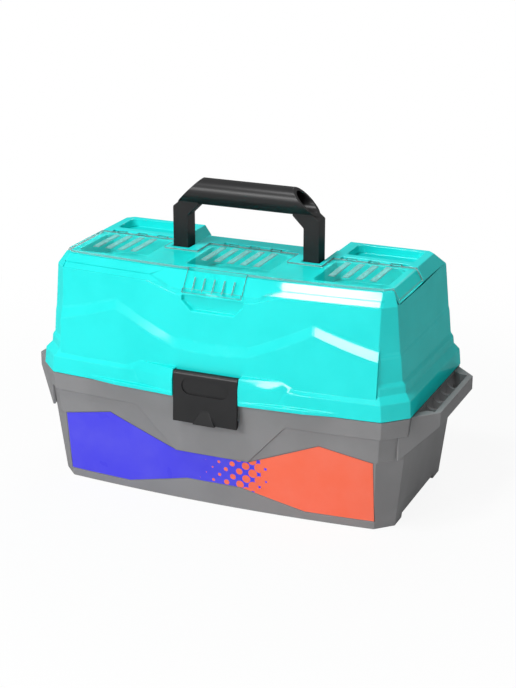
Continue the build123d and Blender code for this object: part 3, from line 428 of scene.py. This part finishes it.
@dataclass(frozen=True)
class PrintedFinish(Finish):
    """Thin glossy film with a plain two-colour print of waves and dots.

    Attributes:
        left: Colour left of the seam.
        right: Colour right of the seam, and of the dots that fade out to its left.
        seam: Place of the seam along x, at seam_height.
        lean: How far the seam moves along x for each metre up.
        wave_rate: Waves of the seam, in radians for each metre up.
        dot_pitch: Distance from dot to dot, in rows that are turned by dot_turn degrees.
        dot_share: Radius of the largest dots as a share of the pitch.
        dot_reach: Distance from the seam at which the dots end.
        pale: Colour of a faint mottle in the print.
        gloss: Roughness from the smoothest to the roughest place.
    """

    left: str
    right: str
    seam: float = 62 * MM
    seam_height: float = 48 * MM
    lean: float = 0.42
    wave_rate: float = 120.0
    wave_depth: float = 4 * MM
    dot_pitch: float = 10.5 * MM
    dot_share: float = 0.62
    dot_reach: float = 75 * MM
    dot_turn: float = 45.0
    pale: Colour = (0.9, 0.9, 1.0, 1.0)
    pale_share: float = 0.025
    mottle: float = 30.0
    mottle_detail: float = 3.0
    mottle_span: Span = (0.3, 0.8)
    fibre: float = 3200.0
    relief: float = 0.03 * MM
    relief_share: float = 0.08
    gloss: Span = (0.26, 0.38)
    shine: float = 0.1

    def _print(self, graph: Graph, place: bpy.types.NodeSocket) -> bpy.types.NodeSocket:
        """Lays out the print.

        Args:
            graph: The material's graph.
            place: The place on the piece.

        Returns:
            The socket of the printed colour.
        """
        split = graph.add("ShaderNodeSeparateXYZ", {"Vector": place}).outputs
        slanted = graph.math("SUBTRACT", split["X"], graph.math("MULTIPLY", split["Z"], self.lean))
        swing = graph.math("SINE", graph.math("MULTIPLY", split["Z"], self.wave_rate))
        wavy = graph.math("ADD", slanted, graph.math("MULTIPLY", swing, self.wave_depth))
        offset = graph.math("SUBTRACT", wavy, self.seam - self.lean * self.seam_height)
        turn = (0.0, math.radians(self.dot_turn), 0.0)
        turned = graph.add("ShaderNodeMapping", {"Vector": place, "Rotation": turn})
        cells = graph.add("ShaderNodeSeparateXYZ", {"Vector": turned.outputs[0]}).outputs
        far = [graph.math("PINGPONG", cells[axis], self.dot_pitch / 2) for axis in ("X", "Z")]
        away = graph.math("SQRT", graph.math("ADD", *(graph.math("POWER", side, 2.0) for side in far)))
        fade = graph.math("DIVIDE", graph.math("ABSOLUTE", offset), self.dot_reach)
        left_over = graph.math("SUBTRACT", 1.0, fade, clamp=True)
        radius = graph.math("MULTIPLY", left_over, self.dot_pitch * self.dot_share)
        dots = graph.math("MULTIPLY", graph.math("LESS_THAN", away, radius), graph.math("LESS_THAN", offset, 0.0))
        share = graph.math("MAXIMUM", graph.math("GREATER_THAN", offset, 0.0), dots)
        return graph.mix(share, srgb(self.left), srgb(self.right))

    def material(self) -> bpy.types.Material:
        """Builds the finish as a node material."""
        material, graph, surface = new_material(self.name)
        place = graph.place()
        mottle = graph.noise(place, self.mottle, self.mottle_detail)
        faint = graph.ramp(mottle, self.mottle_span, (0.0, self.pale_share))
        fibre = graph.noise(place, self.fibre)
        shader = graph.add(
            "ShaderNodeBsdfPrincipled",
            {
                "Base Color": graph.mix(faint, self._print(graph, place), self.pale),
                "Roughness": graph.ramp(mottle, NOISE_SPAN, self.gloss),
                "Specular IOR Level": self.shine,
                "Normal": graph.bump(fibre, self.relief, self.relief_share),
            },
        )
        graph.link(shader.outputs[0], surface)
        return material


@dataclass(frozen=True)
class SteelFinish(Finish):
    """Drawn steel wire with fine lines along its length.

    Attributes:
        colour: Colour of the steel.
        deep: Colour of the lines.
        drawn: Scale of the lines along each axis; the pins lie along x.
        gloss: Roughness from the smoothest to the roughest place.
    """

    colour: str
    deep: str
    deep_share: float = 0.4
    drawn: Point = (40.0, 2500.0, 2500.0)
    line_span: Span = (0.3, 0.7)
    relief: float = 0.02 * MM
    relief_share: float = 0.2
    gloss: Span = (0.22, 0.4)

    def material(self) -> bpy.types.Material:
        """Builds the finish as a node material."""
        material, graph, surface = new_material(self.name)
        drawn = graph.add("ShaderNodeMapping", {"Vector": graph.place(), "Scale": self.drawn})
        lines = graph.noise(drawn.outputs[0], 1.0)
        share = graph.ramp(lines, self.line_span, (0.0, self.deep_share))
        shader = graph.add(
            "ShaderNodeBsdfPrincipled",
            {
                "Base Color": graph.mix(share, srgb(self.colour), srgb(self.deep)),
                "Metallic": 1.0,
                "Roughness": graph.ramp(lines, NOISE_SPAN, self.gloss),
                "Normal": graph.bump(lines, self.relief, self.relief_share),
            },
        )
        graph.link(shader.outputs[0], surface)
        return material


class Finishes:
    """The finishes of this box, each made into a material once."""

    LID = MouldedFinish("lid_turquoise", Slot.LID, colour="#20DEDB", deep="#18D8D5", rub="#3CE6E3", gloss=0.24)
    TUB = MouldedFinish(
        "tub_grey",
        Slot.TUB,
        colour="#858586",
        deep="#7F7F80",
        rub="#939394",
        gloss=0.42,
        grain=2200.0,
        relief_share=0.35,
        coat_gloss=0.35,
    )
    BLACK = MouldedFinish(
        "grip_black",
        Slot.BLACK,
        colour="#222223",
        deep="#1D1D1E",
        rub="#303031",
        gloss=0.4,
        grain=1900.0,
        relief_share=0.4,
        coat_gloss=0.3,
    )
    TRAY = MouldedFinish("tray_grey", Slot.TRAY, colour="#C9CCCD", deep="#C0C4C6", rub="#DDE0E0", gloss=0.36)
    CLEAR = ClearFinish("clear_cover", Slot.CLEAR, tint="#D6DEDD")
    FROSTED = FrostedFinish("frosted_ribs", Slot.CLEAR, colour="#8FC9C6", haze=0.42)
    # Grey haze of painted shade on the clear cover's steep and rounded faces, for the dark look that refraction
    # gives its edges.
    RIM_PAINTED_SHADE = FrostedFinish("cover_rim_painted_shade", Slot.CLEAR, colour="#7F9A99", haze=0.6)
    FILM = PrintedFinish("printed_film", Slot.FILM, left="#4C48E0", right="#F36F53")
    STEEL = SteelFinish("drawn_steel", Slot.STEEL, colour="#B9BBBD", deep="#85888B")
    _made: dict[str, bpy.types.Material] = {}

    @classmethod
    def material(cls, finish: Finish) -> bpy.types.Material:
        """Gives the material of a finish, made at its first use."""
        if finish.name not in cls._made:
            cls._made[finish.name] = finish.material()
        return cls._made[finish.name]


def flatten(piece: bpy.types.Object) -> None:
    """Turns a piece's modifiers into plain mesh."""
    graph = bpy.context.evaluated_depsgraph_get()
    mesh = bpy.data.meshes.new_from_object(piece.evaluated_get(graph), depsgraph=graph)
    piece.modifiers.clear()
    piece.data = mesh


def new_piece(name: str, mesh: bpy.types.Mesh) -> bpy.types.Object:
    """Makes an object at the origin from a mesh and links it to the scene."""
    piece = bpy.data.objects.new(name, mesh)
    bpy.context.scene.collection.objects.link(piece)
    return piece


@dataclass
class Skin:
    """A dressed copy of one CAD node, with rounded edges.

    Attributes:
        node: The CAD node that the skin replaces.
        body: The body that it rides on.
        finish: Its finish.
        edge: Rounding of sharp edges; at 0 nothing is rounded.
        crease: Rounding of the blunter creases between wide faces.
        rounds: Steps in each rounding.
        sharp_angle: Least angle between the faces of a sharp edge, in degrees.
        crease_angle: Least angle between the faces of a crease, in degrees.
        wide: Least mean width of the faces beside a crease.
        face_share: Share of a face's half width that a rounding may take.
        end_share: Share of a crossing edge's length that a rounding may take.
        bend_angle: Largest bend, in degrees, at which one edge carries on another.
        even_passes: How many edges along a line take on its narrowest rounding.
        pocket_round: Radius of the upright corners inside pockets.
        pocket_spans: Heights of floor and rim of each kind of pocket.
        pocket_slack: How closely a corner has to fit these heights.
        arc_share: How far a pocket's corner may stand off its walls, as a share of its radius.
        rim_shade_finish: Finish of steep and rounded faces, where it differs; on the clear cover it is a grey haze
            of painted shade, for the dark look that refraction gives those edges.
        rim_slope: Largest upward part of the normal of a steep face.
        merge: Distance at which corners are merged.
        flat_angle: Angle, in degrees, below which neighbouring faces are made one.
    """

    node: str
    body: str
    finish: Finish
    edge: float
    crease: float = 1.6 * MM
    rounds: int = 2
    sharp_angle: float = 30.0
    crease_angle: float = 5.0
    wide: float = 3 * MM
    face_share: float = 0.4
    end_share: float = 0.45
    bend_angle: float = 30.0
    even_passes: int = 4
    pocket_round: float = 0.0
    pocket_spans: tuple[Span, ...] = ()
    pocket_slack: float = 0.3 * MM
    arc_share: float = 0.35
    rim_shade_finish: Optional[Finish] = None
    rim_slope: float = 0.3
    merge: float = 0.002 * MM
    flat_angle: float = 0.4

    def build(self) -> None:
        """Builds the dressed piece, riding on its body in place of the node."""
        shape = self._shape()
        if self.edge:
            self._weigh_edges(shape)
        # Only hollow faces are cut up, so that the rounding can't fold them; whole faces shade evenly.
        hollow = [face for face in shape.faces if not all(loop.is_convex for loop in face.loops)]
        bmesh.ops.triangulate(shape, faces=hollow)
        surface = BVHTree.FromBMesh(shape)
        for face in shape.faces:
            face.smooth = True
        mesh = bpy.data.meshes.new(f"{self.node}_skin")
        shape.to_mesh(mesh)
        shape.free()
        piece = new_piece(f"{self.node}_skin", mesh)
        piece.data.materials.append(Finishes.material(self.finish))
        self._round(piece)
        self._settle(piece.data, surface)
        self._mark_faces(piece.data)
        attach(piece, self.body)
        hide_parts(self.node)
        LOG.info("%s: %d faces on %s", piece.name, len(piece.data.polygons), self.body)

    def _shape(self) -> bmesh.types.BMesh:
        """Copies the node's triangles and merges them into plain faces."""
        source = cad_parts[self.node].data
        shape = bmesh.new()
        corners = [shape.verts.new(vertex.co) for vertex in source.vertices]
        for face in source.polygons:
            shape.faces.new([corners[index] for index in face.vertices])
        bmesh.ops.remove_doubles(shape, verts=shape.verts, dist=self.merge)
        bmesh.ops.dissolve_degenerate(shape, edges=shape.edges, dist=self.merge)
        bmesh.ops.dissolve_limit(
            shape,
            angle_limit=math.radians(self.flat_angle),
            use_dissolve_boundaries=False,
            verts=shape.verts,
            edges=shape.edges,
        )
        return shape

    def _widest(self) -> float:
        """Gives the widest rounding on the piece."""
        return max(self.edge, self.crease, self.pocket_round)

    def _weigh_edges(self, shape: bmesh.types.BMesh) -> None:
        """Marks how widely each edge is rounded, evenly along lines of edges."""
        weight = shape.edges.layers.float.new("bevel_weight_edge")
        widest = self._widest()
        for edge in shape.edges:
            wanted = self._wanted(edge) if len(edge.link_faces) == 2 else 0.0
            if wanted:
                edge[weight] = min(wanted, self._room(edge)) / widest
        marked = [edge for edge in shape.edges if edge[weight] > 0]
        lines = [(edge, *self._line(edge)) for edge in marked]
        for _ in range(self.even_passes):
            least = [min(near[weight] for near in line if near[weight] > 0) for line in lines]
            for edge, value in zip(marked, least):
                edge[weight] = value
        for edge in filter(self._in_pocket, shape.edges):
            edge[weight] = self.pocket_round / widest

    def _wanted(self, edge: bmesh.types.BMEdge) -> float:
        """Gives the rounding that suits an edge: sharp edges a little, creases between wide faces more.

        Args:
            edge: An edge between two faces.

        Returns:
            The rounding, or 0 where the edge stays as it is.
        """
        angle = edge.calc_face_angle(0.0)
        if angle >= math.radians(self.sharp_angle):
            return self.edge
        narrow = min(face.calc_area() for face in edge.link_faces) < self.wide * edge.calc_length()
        if narrow or angle < math.radians(self.crease_angle):
            return 0.0
        return self.crease

    def _room(self, edge: bmesh.types.BMEdge) -> float:
        """Finds how widely an edge can be rounded before its narrow faces or short neighbours overlap.

        Args:
            edge: An edge between two faces.

        Returns:
            The widest rounding that fits.
        """
        faces = [2 * face.calc_area() / face.calc_perimeter() * self.face_share for face in edge.link_faces]
        least = math.radians(self.crease_angle)
        crossing = [near for near in self._near(edge) if near.calc_face_angle(0.0) > least]
        crossing = [near for near in crossing if self._bend(edge, near) > self.bend_angle]
        return min(faces + [near.calc_length() * self.end_share for near in crossing])

    def _line(self, edge: bmesh.types.BMEdge) -> list[bmesh.types.BMEdge]:
        """Lists the neighbours that carry an edge on in about its own direction."""
        return [near for near in self._near(edge) if self._bend(edge, near) <= self.bend_angle]

    @staticmethod
    def _near(edge: bmesh.types.BMEdge) -> list[bmesh.types.BMEdge]:
        """Lists the edges that meet an edge at its ends."""
        return [near for vertex in edge.verts for near in vertex.link_edges if near is not edge]

    @staticmethod
    def _bend(edge: bmesh.types.BMEdge, near: bmesh.types.BMEdge) -> float:
        """Gives the angle in degrees between the lines of two edges."""
        along = edge.verts[1].co - edge.verts[0].co
        bend = math.degrees(along.angle(near.verts[1].co - near.verts[0].co, 0.0))
        return min(bend, 180 - bend)

    def _in_pocket(self, edge: bmesh.types.BMEdge) -> bool:
        """Tells whether an edge is an upright inner corner that spans a pocket from floor to rim."""
        foot, top = sorted(vertex.co.z for vertex in edge.verts)
        upright = top - foot > edge.calc_length() - self.pocket_slack
        fits = [max(abs(foot - low), abs(top - high)) < self.pocket_slack for low, high in self.pocket_spans]
        return upright and any(fits) and not edge.is_convex

    def _round(self, piece: bpy.types.Object) -> None:
        """Rounds the marked edges and evens the shading of the flat faces."""
        if self.edge:
            piece.data.materials.append(piece.data.materials[0])
            bevel = piece.modifiers.new("rounded", "BEVEL")
            bevel.width = self._widest()
            bevel.segments = self.rounds
            bevel.limit_method = "WEIGHT"
            # The marks keep neighbouring roundings apart already, and a clamp would thin every edge.
            bevel.use_clamp_overlap = False
            bevel.loop_slide = False
            bevel.material = ROUNDED_SLOT
        even = piece.modifiers.new("even_shading", "WEIGHTED_NORMAL")
        even.keep_sharp = True
        flatten(piece)

    def _settle(self, mesh: bpy.types.Mesh, surface: BVHTree) -> None:
        """Puts corners that a rounding threw off the piece back on the surface it had before."""
        limit = max(self.edge, self.crease, self.pocket_round * self.arc_share)
        for vertex in mesh.vertices:
            near, _, _, away = surface.find_nearest(vertex.co)
            if away > limit:
                vertex.co = near

    def _mark_faces(self, mesh: bpy.types.Mesh) -> None:
        """Writes which faces are rounded edges, for the rub in the finish, and gives steep and rounded faces the rim
        finish, which on the clear cover is painted edge shade.
        """
        rounded = [face.material_index == ROUNDED_SLOT for face in mesh.polygons]
        marks = mesh.attributes.new(EDGE_ATTRIBUTE, "FLOAT", "FACE")
        marks.data.foreach_set("value", [float(mark) for mark in rounded])
        rim = [0] * len(mesh.polygons)
        if self.edge:
            mesh.materials.pop(index=ROUNDED_SLOT)
        # Steep and rounded faces take the rim finish; on the clear cover this is a grey haze of painted shade.
        if self.rim_shade_finish:
            mesh.materials.append(Finishes.material(self.rim_shade_finish))
            steep = [abs(face.normal.z) < self.rim_slope for face in mesh.polygons]
            rim = [int(any(pair)) for pair in zip(steep, rounded)]
        mesh.polygons.foreach_set("material_index", rim)


@dataclass(frozen=True)
class RibRow:
    """Sizes and place of one row of ribs along x.

    Attributes:
        count: Number of ribs.
        pitch: Distance from rib to rib.
        length: Length of a rib, across the row.
        width: Width of a rib, along the row.
        height: How far a rib stands up.
        corner: Radius of a rib's corners.
        middle: Middle of the row, on the face that carries it.
        tilt: Turn of that face about x, in degrees.
    """

    count: int
    pitch: float
    length: float
    width: float
    height: float
    corner: float
    middle: Point
    tilt: float = 0.0


class RibTree:
    """Geometry Nodes that lay a row of slot-shaped ribs."""

    SOCKETS: dict[str, str] = {
        "Count": "Int",
        "Pitch": "Float",
        "Length": "Float",
        "Width": "Float",
        "Height": "Float",
        "Corner": "Float",
        "Middle": "Vector",
        "Tilt": "Rotation",
    }
    CORNER_STEPS = 5
    MERGE = 0.005 * MM

    def __init__(self, finish: Finish) -> None:
        """Builds the tree with named inputs.

        Args:
            finish: The finish of the ribs.
        """
        self.tree = bpy.data.node_groups.new("rib_row", "GeometryNodeTree")
        sockets = self.tree.interface
        sockets.new_socket("Geometry", in_out="INPUT", socket_type="NodeSocketGeometry")
        for title, kind in self.SOCKETS.items():
            sockets.new_socket(title, in_out="INPUT", socket_type=f"NodeSocket{kind}")
        sockets.new_socket("Geometry", in_out="OUTPUT", socket_type="NodeSocketGeometry")
        graph = Graph(self.tree)
        take = graph.add("NodeGroupInput").outputs
        values = {"Points": self._points(graph, take), "Instance": self._rib(graph, take)}
        copies = graph.add("GeometryNodeInstanceOnPoints", values)
        values = {"Geometry": copies.outputs[0], "Translation": take["Middle"], "Rotation": take["Tilt"]}
        placed = graph.add("GeometryNodeTransform", values)
        real = graph.add("GeometryNodeRealizeInstances", {"Geometry": placed.outputs[0]})
        values = {"Geometry": real.outputs[0], "Material": Finishes.material(finish)}
        dressed = graph.add("GeometryNodeSetMaterial", values)
        graph.link(dressed.outputs[0], graph.add("NodeGroupOutput").inputs[0])

    @staticmethod
    def _points(graph: Graph, take: bpy.types.NodeOutputs) -> bpy.types.NodeSocket:
        """Lays the row's points about its middle.

        Args:
            graph: The tree's graph.
            take: The sockets of the tree's inputs.

        Returns:
            The socket of the points.
        """
        step = graph.add("ShaderNodeCombineXYZ", {"X": take["Pitch"]})
        gaps = graph.math("SUBTRACT", take["Count"], 1.0)
        half = graph.math("MULTIPLY", graph.math("MULTIPLY", take["Pitch"], gaps), -0.5)
        start = graph.add("ShaderNodeCombineXYZ", {"X": half})
        values = {"Count": take["Count"], "Start Location": start.outputs[0], "Offset": step.outputs[0]}
        return graph.add("GeometryNodeMeshLine", values).outputs[0]

    @classmethod
    def _rib(cls, graph: Graph, take: bpy.types.NodeOutputs) -> bpy.types.NodeSocket:
        """Makes one closed rib with round corners.

        Args:
            graph: The tree's graph.
            take: The sockets of the tree's inputs.

        Returns:
            The socket of the rib.
        """
        values = {"Width": take["Width"], "Height": take["Length"]}
        outline = graph.add("GeometryNodeCurvePrimitiveQuadrilateral", values)
        values = {"Curve": outline.outputs[0], "Count": cls.CORNER_STEPS, "Radius": take["Corner"]}
        rounded = graph.add("GeometryNodeFilletCurve", values | {"Limit Radius": True}, mode="POLY")
        plate = graph.add("GeometryNodeFillCurve", {"Curve": rounded.outputs[0]}, mode="NGONS").outputs[0]
        values = {"Mesh": plate, "Offset Scale": take["Height"], "Individual": False}
        raised = graph.add("GeometryNodeExtrudeMesh", values)
        under = graph.add("GeometryNodeFlipFaces", {"Mesh": plate})
        both = graph.add("GeometryNodeJoinGeometry")
        for part in (raised, under):
            graph.link(part.outputs["Mesh"], both.inputs[0])
        values = {"Geometry": both.outputs[0], "Distance": cls.MERGE}
        return graph.add("GeometryNodeMergeByDistance", values).outputs[0]

    def lay(self, row: RibRow) -> bpy.types.Object:
        """Makes one row of ribs as a plain mesh.

        Args:
            row: The row's sizes and place.

        Returns:
            The piece, not yet riding on a body.
        """
        piece = new_piece("rib_row", bpy.data.meshes.new("rib_row"))
        modifier = piece.modifiers.new("ribs", "NODES")
        modifier.node_group = self.tree
        sockets = {item.name: item.identifier for item in self.tree.interface.items_tree if item.in_out == "INPUT"}
        for title in self.SOCKETS:
            value = getattr(row, title.lower())
            modifier[sockets[title]] = (math.radians(value), 0.0, 0.0) if title == "Tilt" else value
        flatten(piece)
        return piece


def join(pieces: list[bpy.types.Object], name: str) -> bpy.types.Object:
    """Joins plain meshes into one piece.

    Args:
        pieces: Objects at the origin, all with the same material.
        name: The joined piece's name.

    Returns:
        The joined piece.
    """
    shape = bmesh.new()
    for piece in pieces:
        shape.from_mesh(piece.data)
    mesh = bpy.data.meshes.new(name)
    shape.to_mesh(mesh)
    shape.free()
    mesh.materials.append(pieces[0].data.materials[-1])
    mesh.polygons.foreach_set("material_index", [0] * len(mesh.polygons))
    for piece in pieces:
        bpy.data.objects.remove(piece)
    return new_piece(name, mesh)


@dataclass
class Tub:
    """Grey tub with its carrying flanges, printed film and hinge pins; the film is too thin to round."""

    edge: float = 0.7 * MM
    floor_edge: float = 0.2 * MM
    film_edge: float = 0.0
    pin_edge: float = 0.3 * MM

    def build(self) -> None:
        """Dresses the pieces that ride on the base."""
        Skin("base_tub", "base", Finishes.TUB, self.edge).build()
        Skin("tub_floor", "base", Finishes.TUB, self.floor_edge, self.floor_edge).build()
        for hand in ("left", "right"):
            Skin(f"flange_{hand}", "base", Finishes.TUB, self.edge).build()
        Skin("front_label", "base", Finishes.FILM, self.film_edge, self.film_edge).build()
        Skin("lid_hinge_pins", "base", Finishes.STEEL, self.pin_edge).build()


@dataclass
class Lid:
    """Turquoise stepped lid with the pins of the latch and the handle.

    Attributes:
        edge: Rounding of the lid's edges.
        rounds: Steps in each rounding, enough for the pockets' corners.
        pin_edge: Rounding of the pins' ends.
        pocket_round: Radius of the pockets' corners.
        pocket_floor: Height of the floor of the pockets under the clear cover.
        cover_seat: Height of their rim, which the cover lies on.
        hump_floor: Height of the floor of the pockets in the humps.
        hump_top: Height of their rim.
    """

    edge: float = 0.9 * MM
    rounds: int = 4
    pin_edge: float = 0.3 * MM
    pocket_round: float = 7.5 * MM
    pocket_floor: float = 228.5 * MM
    cover_seat: float = 248.2 * MM
    hump_floor: float = 242.0 * MM
    hump_top: float = 251.0 * MM

    def build(self) -> None:
        """Dresses the pieces that ride on the lid."""
        Skin(
            "lid_shell",
            "lid",
            Finishes.LID,
            self.edge,
            rounds=self.rounds,
            pocket_round=self.pocket_round,
            pocket_spans=((self.pocket_floor, self.cover_seat), (self.hump_floor, self.hump_top)),
        ).build()
        for node in ("latch_pin", "handle_pins"):
            Skin(node, "lid", Finishes.STEEL, self.pin_edge).build()


@dataclass
class Latch:
    """Black front latch."""

    edge: float = 0.7 * MM

    def build(self) -> None:
        """Dresses the latch."""
        Skin("latch", "latch", Finishes.BLACK, self.edge).build()


@dataclass
class TopCover:
    """Clear hinged cover with frosted ribs over the lid's pockets and on its clasp tab.

    Attributes:
        edge: Rounding of the cover's edges.
        ribs: The row over the middle pocket.
        side_count: Ribs in each row over a side pocket.
        side_middle: Distance of these rows from the middle, along x.
        tab_ribs: The row on the clasp tab.
    """

    edge: float = 0.4 * MM
    ribs: RibRow = RibRow(
        count=5,
        pitch=14.6 * MM,
        length=48.4 * MM,
        width=5.9 * MM,
        height=0.25 * MM,
        corner=2.2 * MM,
        middle=(0.0, -33.5 * MM, 251.75 * MM),
    )
    side_count: int = 4
    side_middle: float = 132.25 * MM
    tab_ribs: RibRow = RibRow(
        count=5,
        pitch=10.83 * MM,
        length=15.2 * MM,
        width=0.9 * MM,
        height=0.2 * MM,
        corner=0.4 * MM,
        middle=(0.0, -99.1 * MM, 238.2 * MM),
        tilt=54.46,
    )

    def build(self) -> None:
        """Dresses the cover and lays its frosted rib faces."""
        # The cover's steep and rounded faces take a grey haze of painted shade, for the dark look of its refracting
        # edges.
        Skin("top_cover", "top_cover", Finishes.CLEAR, self.edge, rim_shade_finish=Finishes.RIM_PAINTED_SHADE).build()
        across, top = self.ribs.middle[1:]
        left, right = (
            replace(self.ribs, count=self.side_count, middle=(middle, across, top))
            for middle in (-self.side_middle, self.side_middle)
        )
        tree = RibTree(Finishes.FROSTED)
        ribs = join([tree.lay(row) for row in (self.tab_ribs, left, self.ribs, right)], "cover_rib_faces")
        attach(ribs, "top_cover")
        LOG.info("%s: %d faces on top_cover", ribs.name, len(ribs.data.polygons))


@dataclass
class Handle:
    """Black folding handle with a hollow grip."""

    edge: float = 0.9 * MM

    def build(self) -> None:
        """Dresses the handle."""
        Skin("handle", "handle", Finishes.BLACK, self.edge).build()


@dataclass
class TrayStack:
    """Three trays with loose dividers on four cantilever arms."""

    edge: float = 0.5 * MM
    divider_edge: float = 0.3 * MM
    levels: tuple[str, ...] = ("bottom", "middle", "top")

    def build(self) -> None:
        """Dresses the arms, trays and dividers."""
        for end in ("front", "rear"):
            for hand in ("left", "right"):
                arm = f"arm_{end}_{hand}"
                Skin(arm, arm, Finishes.BLACK, self.edge).build()
        for level in self.levels:
            body = f"tray_{level}"
            Skin(body, body, Finishes.TRAY, self.edge).build()
            Skin(f"dividers_{level}", body, Finishes.TRAY, self.divider_edge).build()


@dataclass
class Lamp:
    """One soft area lamp that is aimed at a point over the middle of the floor."""

    name: str
    place: Point
    aim_height: float
    width: float
    height: float
    power: float

    def build(self) -> None:
        """Makes the lamp and turns it to its aim."""
        light = bpy.data.lights.new(self.name, "AREA")
        light.shape = "RECTANGLE"
        light.size = self.width
        light.size_y = self.height
        light.energy = self.power
        lamp = bpy.data.objects.new(self.name, light)
        bpy.context.scene.collection.objects.link(lamp)
        lamp.location = self.place
        way = Vector((0.0, 0.0, self.aim_height)) - Vector(self.place)
        lamp.rotation_euler = way.to_track_quat("-Z", "Y").to_euler()


def studio_lamps() -> list[Lamp]:
    """Lists the lamps: a key at the front left, two that the lid's ridges mirror, one above and one behind."""
    return [
        Lamp("overhead", (-0.26, -0.6, 1.65), aim_height=0.2, width=0.34, height=0.2, power=12.0),
        Lamp("front_left", (-0.75, -1.9, 1.3), aim_height=0.15, width=0.8, height=0.6, power=21.0),
        Lamp("ridge_strip", (0.05, -1.95, 0.745), aim_height=0.2, width=0.26, height=0.24, power=6.5),
        Lamp("ridge_glint", (-0.6, -1.95, 0.71), aim_height=0.2, width=0.14, height=0.2, power=1.8),
        Lamp("back", (-0.1, 1.8, 1.6), aim_height=0.15, width=1.0, height=0.7, power=13.0),
    ]


@dataclass
class Studio:
    """Pale floor, white surroundings and soft lamps.

    Attributes:
        floor_half: Half the floor's size.
        floor_drop: How far the floor lies below the box's feet.
        ambient: Strength at which the surroundings light the box.
        near_share: Share of plain white in the floor within near_reach; the rest takes the shadow.
        far_reach: Distance from which the floor is plain white.
        paper: Colour of the floor's own surface.
        paper_deep: Colour of its faint mottle.
    """

    floor_half: float = 6.0
    floor_drop: float = 0.2 * MM
    ambient: float = 0.24
    near_share: float = 0.91
    near_reach: float = 0.25
    far_reach: float = 0.8
    paper: Colour = (0.82, 0.82, 0.82, 1.0)
    paper_deep: Colour = (0.78, 0.78, 0.79, 1.0)
    paper_scale: float = 6.0
    paper_span: Span = (0.3, 0.7)
    paper_share: float = 0.03
    lamps: list[Lamp] = field(default_factory=studio_lamps)

    def build(self) -> None:
        """Makes the floor, the world and the lamps."""
        self._floor()
        self._world()
        for lamp in self.lamps:
            lamp.build()

    def _seen(self, graph: Graph) -> bpy.types.NodeSocket:
        """Gives 1 for rays that show the background, and 0 for rays that light the object."""
        path = graph.add("ShaderNodeLightPath").outputs
        seen = graph.math("MAXIMUM", path["Is Camera Ray"], path["Is Glossy Ray"])
        return graph.math("MAXIMUM", seen, path["Is Transmission Ray"])

    def _floor(self) -> None:
        """Lays a white floor that keeps the shadow."""
        half = self.floor_half
        corners = [(x * half, y * half, -self.floor_drop) for x, y in ((-1, -1), (1, -1), (1, 1), (-1, 1))]
        mesh = bpy.data.meshes.new("floor")
        mesh.from_pydata(corners, [], [range(len(corners))])
        floor = new_piece("floor", mesh)
        material, graph, surface = new_material("pale_floor")
        place = graph.place()
        mottle = graph.ramp(graph.noise(place, self.paper_scale), self.paper_span, (0.0, self.paper_share))
        diffuse = graph.add("ShaderNodeBsdfDiffuse", {"Color": graph.mix(mottle, self.paper, self.paper_deep)})
        glow = graph.add("ShaderNodeEmission", {"Color": WHITE, "Strength": 1.0})
        away = graph.add("ShaderNodeVectorMath", {0: place}, operation="LENGTH").outputs["Value"]
        white = graph.ramp(away, (self.near_reach, self.far_reach), (self.near_share, 1.0))
        share = graph.math("MULTIPLY", self._seen(graph), white)
        both = graph.add("ShaderNodeMixShader", {0: share, 1: diffuse.outputs[0], 2: glow.outputs[0]})
        graph.link(both.outputs[0], surface)
        mesh.materials.append(material)

    def _world(self) -> None:
        """Makes white surroundings that light the object only faintly."""
        world = bpy.data.worlds.new("studio")
        bpy.context.scene.world = world
        world.use_nodes = True
        graph = Graph(world.node_tree)
        values = {"Value": self._seen(graph), "To Min": self.ambient, "To Max": 1.0}
        strength = graph.add("ShaderNodeMapRange", values).outputs[0]
        background = graph.add("ShaderNodeBackground", {"Color": WHITE, "Strength": strength})
        graph.link(background.outputs[0], graph.add("ShaderNodeOutputWorld").inputs[0])


@dataclass
class PhotoCamera:
    """Camera at the photograph's viewing angle, with yaw and pitch in degrees and its lens in millimetres."""

    place: Point = (0.66335, -1.53005, 0.73748)
    yaw: float = 23.24
    pitch: float = 19.55
    lens: float = 86.67
    sensor: float = 36.0

    def build(self) -> None:
        """Makes the camera and sets it in the scene."""
        lens = bpy.data.cameras.new("photo_camera")
        lens.sensor_fit = "VERTICAL"
        lens.sensor_height = self.sensor
        lens.lens = self.lens
        camera = bpy.data.objects.new("photo_camera", lens)
        bpy.context.scene.collection.objects.link(camera)
        camera.location = self.place
        camera.rotation_euler = (math.radians(90 - self.pitch), 0.0, math.radians(self.yaw))
        bpy.context.scene.camera = camera


def main() -> None:
    """Builds the box, then its camera and studio, and logs each assembly as it is done."""
    logging.basicConfig(level=logging.INFO, format="%(name)s %(message)s")
    bpy.context.scene.view_settings.view_transform = "Standard"
    for assembly in (Tub(), Lid(), Latch(), TopCover(), Handle(), TrayStack(), PhotoCamera(), Studio()):
        assembly.build()
        LOG.info("%s done", type(assembly).__name__)


if __name__ == "__main__":
    main()
